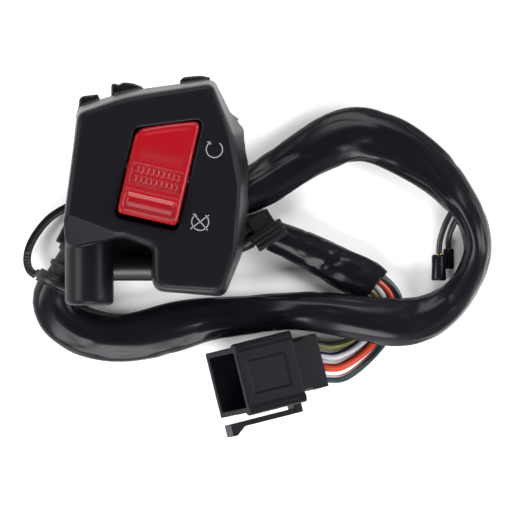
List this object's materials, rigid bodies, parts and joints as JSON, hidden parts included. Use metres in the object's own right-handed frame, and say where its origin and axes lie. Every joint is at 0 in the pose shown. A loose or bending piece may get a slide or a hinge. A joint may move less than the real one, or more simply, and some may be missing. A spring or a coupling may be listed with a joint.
{
  "type": "handlebar switch cluster",
  "caption": "Handlebar switch housing in two clamped shells with a red run and stop rocker, a throttle cable boss and a sleeved wiring harness that ends in a hooded connector.",
  "frame": {"origin": "on the handlebar's axis, inside the clamp bore", "axes": "+X along the handlebar, +Y up the front face, +Z out of the front face; the part lies on its rear ribs"},
  "size_m": [0.1416, 0.1088, 0.0509],
  "materials": {
    "shell": "satin black moulded plastic",
    "rocker": "glossy red moulded plastic",
    "steel": "zinc-plated steel",
    "plunger": "natural acetal",
    "carrier": "brown phenolic",
    "brass": "plain brass",
    "rubber": "moulded rubber",
    "tape": "wound vinyl tape",
    "tie": "black nylon",
    "sleeve": "soft glossy vinyl sleeve",
    "clip": "black nylon",
    "connector": "black nylon",
    "pins": "tin-plated copper alloy",
    "wire_black": "vinyl insulation",
    "wire_green": "vinyl insulation",
    "wire_blue": "vinyl insulation",
    "wire_grey": "vinyl insulation",
    "wire_red": "vinyl insulation",
    "wire_orange": "vinyl insulation",
    "wire_white": "vinyl insulation",
    "wire_teal": "vinyl insulation"
  },
  "bodies": {
    "housing": {"front_shell": "shell", "rear_shell": "shell", "clamp_screws": "steel", "pivot_pins": "steel", "contact_carrier": "carrier", "carrier_screws": "steel", "run_contact": "brass", "stop_contact": "brass", "common_post": "brass", "grommet": "rubber", "sheath_collar": "tape", "cable_tie": "tie", "main_sheath": "sleeve", "wire_bundle": "tape", "sleeve_clip": "clip", "second_sleeve": "sleeve", "connector_hood": "connector", "connector_holder": "connector", "connector_pins": "pins", "branch_wires": "wire_black", "branch_sleeves": "sleeve", "bullet_terminals": "brass", "wire_black": "wire_black", "wire_green": "wire_green", "wire_blue": "wire_blue", "wire_grey": "wire_grey", "wire_red": "wire_red", "wire_orange": "wire_orange", "wire_white": "wire_white", "wire_teal": "wire_teal"},
    "rocker": {"rocker": "rocker", "detent_spring": "steel"},
    "plunger": {"detent_plunger": "plunger"},
    "bridge": {"contact_bridge": "brass"},
    "latch": {"connector_latch": "connector"}
  },
  "joints": [
    {"name": "rocker_rock", "type": "hinge", "parent": "housing", "child": "rocker", "pos_m": [-0.0003, -0.0042, 0.026], "axis": [0.9744, -0.225, 0], "range_deg": [0, 14]},
    {"name": "plunger_slide", "type": "slide", "parent": "rocker", "child": "plunger", "axis": [0.0274, 0.1187, 0.9925], "range_m": [0, 0.0006], "stiffness_N_per_m": 200, "deforming": ["detent_spring"]},
    {"name": "bridge_tilt", "type": "hinge", "parent": "housing", "child": "bridge", "pos_m": [-0.0003, -0.0042, 0.0181], "axis": [0.9744, -0.225, 0], "range_deg": [-8.5, 0.2]},
    {"name": "latch_flex", "type": "hinge", "parent": "housing", "child": "latch", "pos_m": [0.03927, -0.07566, -0.00584], "axis": [0.3323, 0.081, 0.9397], "range_deg": [-5, 0], "stiffness_Nm_per_rad": 0.05}
  ],
  "couplings": [
    {"joint": "bridge_tilt", "follows": "rocker_rock", "ratio": -0.57143}
  ]
}
